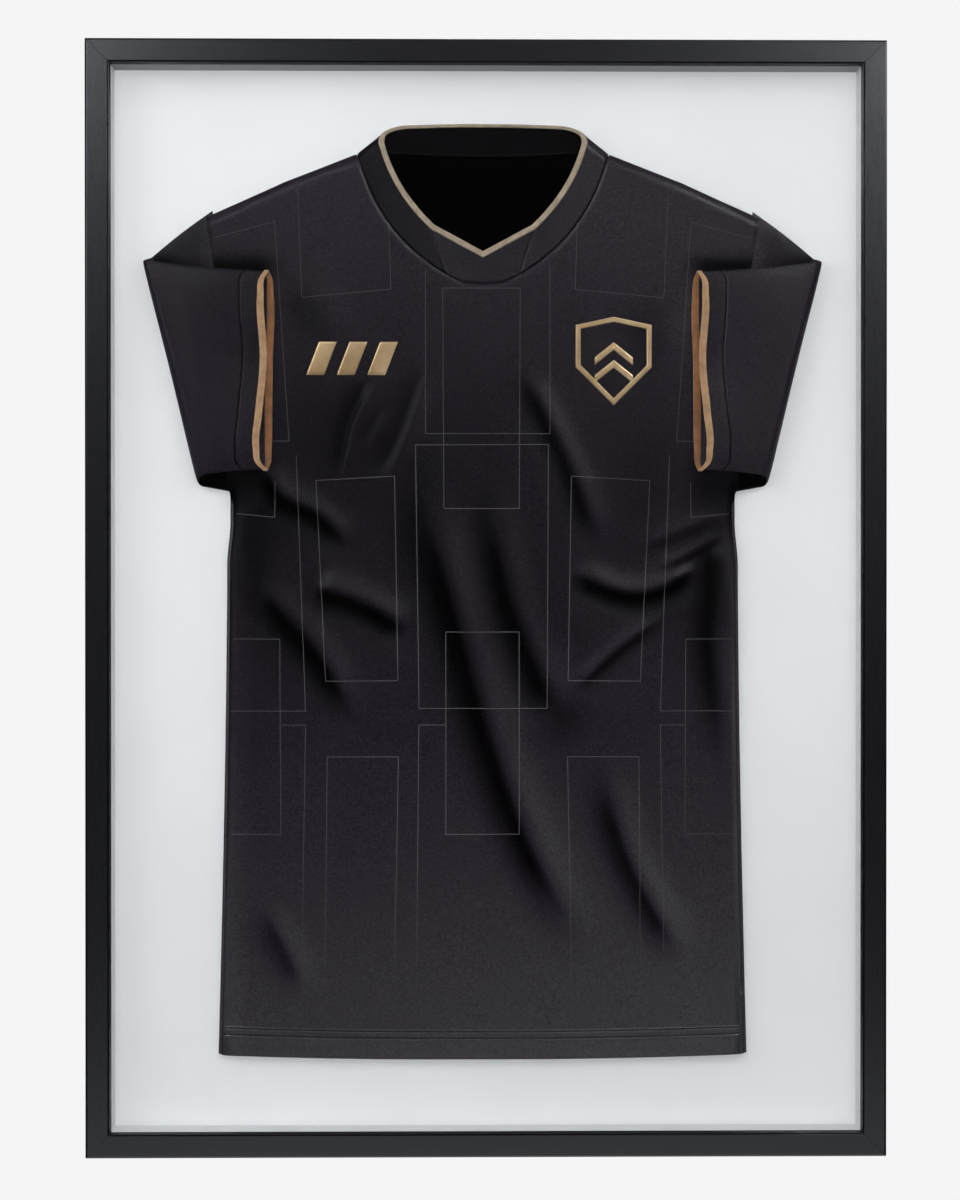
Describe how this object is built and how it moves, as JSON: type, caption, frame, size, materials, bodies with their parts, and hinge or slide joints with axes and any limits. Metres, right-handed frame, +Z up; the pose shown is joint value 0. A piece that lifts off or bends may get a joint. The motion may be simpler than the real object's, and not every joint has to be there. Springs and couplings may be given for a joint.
{
  "type": "jersey display frame",
  "caption": "Deep wall box frame with black mitred moulding, clear pane and white backing, holding a folded short sleeved jersey on a foam form.",
  "frame": {"origin": "on the wall plane, behind the centre of the frame", "axes": "+X to the right as seen from the front, +Y out of the back towards the wall, +Z up"},
  "size_m": [0.626, 0.043, 0.873],
  "materials": {
    "moulding": "satin black paint over fine grained wood",
    "pane": "clear acrylic with polished faces",
    "white_board": "smooth white card surface",
    "back_board": "raw brown fibreboard",
    "zinc": "zinc plated steel, slightly dull",
    "screw_steel": "plated steel screw heads",
    "felt": "dense black felt",
    "foam": "white foam board",
    "jersey": "matte black polyester knit",
    "collar": "black knit, slightly ribbed",
    "neck_trim": "dull gold woven binding",
    "cuff_trim": "tan gold woven binding",
    "mark": "brushed gold transfer film"
  },
  "bodies": {
    "frame": {"rail_top": "moulding", "rail_bottom": "moulding", "rail_left": "moulding", "rail_right": "moulding", "corner_wedges": "zinc", "clear_pane": "pane", "spacer_top": "white_board", "spacer_bottom": "white_board", "spacer_left": "white_board", "spacer_right": "white_board", "mount_board": "white_board", "back_board": "back_board", "button_screws": "screw_steel", "wall_pads": "felt", "strap_left": "zinc", "strap_right": "zinc", "strap_screws": "screw_steel", "form_board": "foam", "holding_pins": "screw_steel", "jersey_back": "jersey", "jersey_front": "jersey", "hem_band": "jersey", "neck_tape": "jersey", "sleeve_under_left": "jersey", "sleeve_under_right": "jersey", "sleeve_inner_left": "jersey", "sleeve_inner_right": "jersey", "sleeve_outer_left": "jersey", "sleeve_outer_right": "jersey", "collar_band": "collar", "collar_insert": "collar", "neck_trim": "neck_trim", "sleeve_card_left": "foam", "sleeve_card_right": "foam", "cuff_trim_left": "cuff_trim", "cuff_trim_right": "cuff_trim", "chest_bars": "mark", "chest_shield": "mark"},
    "button_bottom_left": {"button_bottom_left": "zinc"},
    "button_bottom_right": {"button_bottom_right": "zinc"},
    "button_left_lower": {"button_left_lower": "zinc"},
    "button_left_middle": {"button_left_middle": "zinc"},
    "button_left_upper": {"button_left_upper": "zinc"},
    "button_right_lower": {"button_right_lower": "zinc"},
    "button_right_middle": {"button_right_middle": "zinc"},
    "button_right_upper": {"button_right_upper": "zinc"},
    "button_top_left": {"button_top_left": "zinc"},
    "button_top_right": {"button_top_right": "zinc"},
    "ring_left": {"ring_left": "zinc"},
    "ring_right": {"ring_right": "zinc"}
  },
  "joints": [
    {"name": "button_top_left_turn", "type": "hinge", "parent": "frame", "child": "button_top_left", "pos_m": [-0.15, -0.0043, 0.429], "axis": [0, 1, 0], "continuous": true},
    {"name": "button_bottom_left_turn", "type": "hinge", "parent": "frame", "child": "button_bottom_left", "pos_m": [-0.15, -0.0043, -0.429], "axis": [0, 1, 0], "continuous": true},
    {"name": "button_left_upper_turn", "type": "hinge", "parent": "frame", "child": "button_left_upper", "pos_m": [-0.3055, -0.0043, 0.3], "axis": [0, 1, 0], "continuous": true},
    {"name": "button_left_middle_turn", "type": "hinge", "parent": "frame", "child": "button_left_middle", "pos_m": [-0.3055, -0.0043, 0], "axis": [0, 1, 0], "continuous": true},
    {"name": "button_left_lower_turn", "type": "hinge", "parent": "frame", "child": "button_left_lower", "pos_m": [-0.3055, -0.0043, -0.3], "axis": [0, 1, 0], "continuous": true},
    {"name": "button_top_right_turn", "type": "hinge", "parent": "frame", "child": "button_top_right", "pos_m": [0.15, -0.0043, 0.429], "axis": [0, 1, 0], "continuous": true},
    {"name": "button_bottom_right_turn", "type": "hinge", "parent": "frame", "child": "button_bottom_right", "pos_m": [0.15, -0.0043, -0.429], "axis": [0, 1, 0], "continuous": true},
    {"name": "button_right_upper_turn", "type": "hinge", "parent": "frame", "child": "button_right_upper", "pos_m": [0.3055, -0.0043, 0.3], "axis": [0, 1, 0], "continuous": true},
    {"name": "button_right_middle_turn", "type": "hinge", "parent": "frame", "child": "button_right_middle", "pos_m": [0.3055, -0.0043, 0], "axis": [0, 1, 0], "continuous": true},
    {"name": "button_right_lower_turn", "type": "hinge", "parent": "frame", "child": "button_right_lower", "pos_m": [0.3055, -0.0043, -0.3], "axis": [0, 1, 0], "continuous": true},
    {"name": "ring_left_swing", "type": "hinge", "parent": "frame", "child": "ring_left", "pos_m": [-0.3055, -0.00285, 0.15], "axis": [-1, 0, 0], "range_deg": [0, 180]},
    {"name": "ring_right_swing", "type": "hinge", "parent": "frame", "child": "ring_right", "pos_m": [0.3055, -0.00285, 0.15], "axis": [-1, 0, 0], "range_deg": [0, 180]}
  ]
}
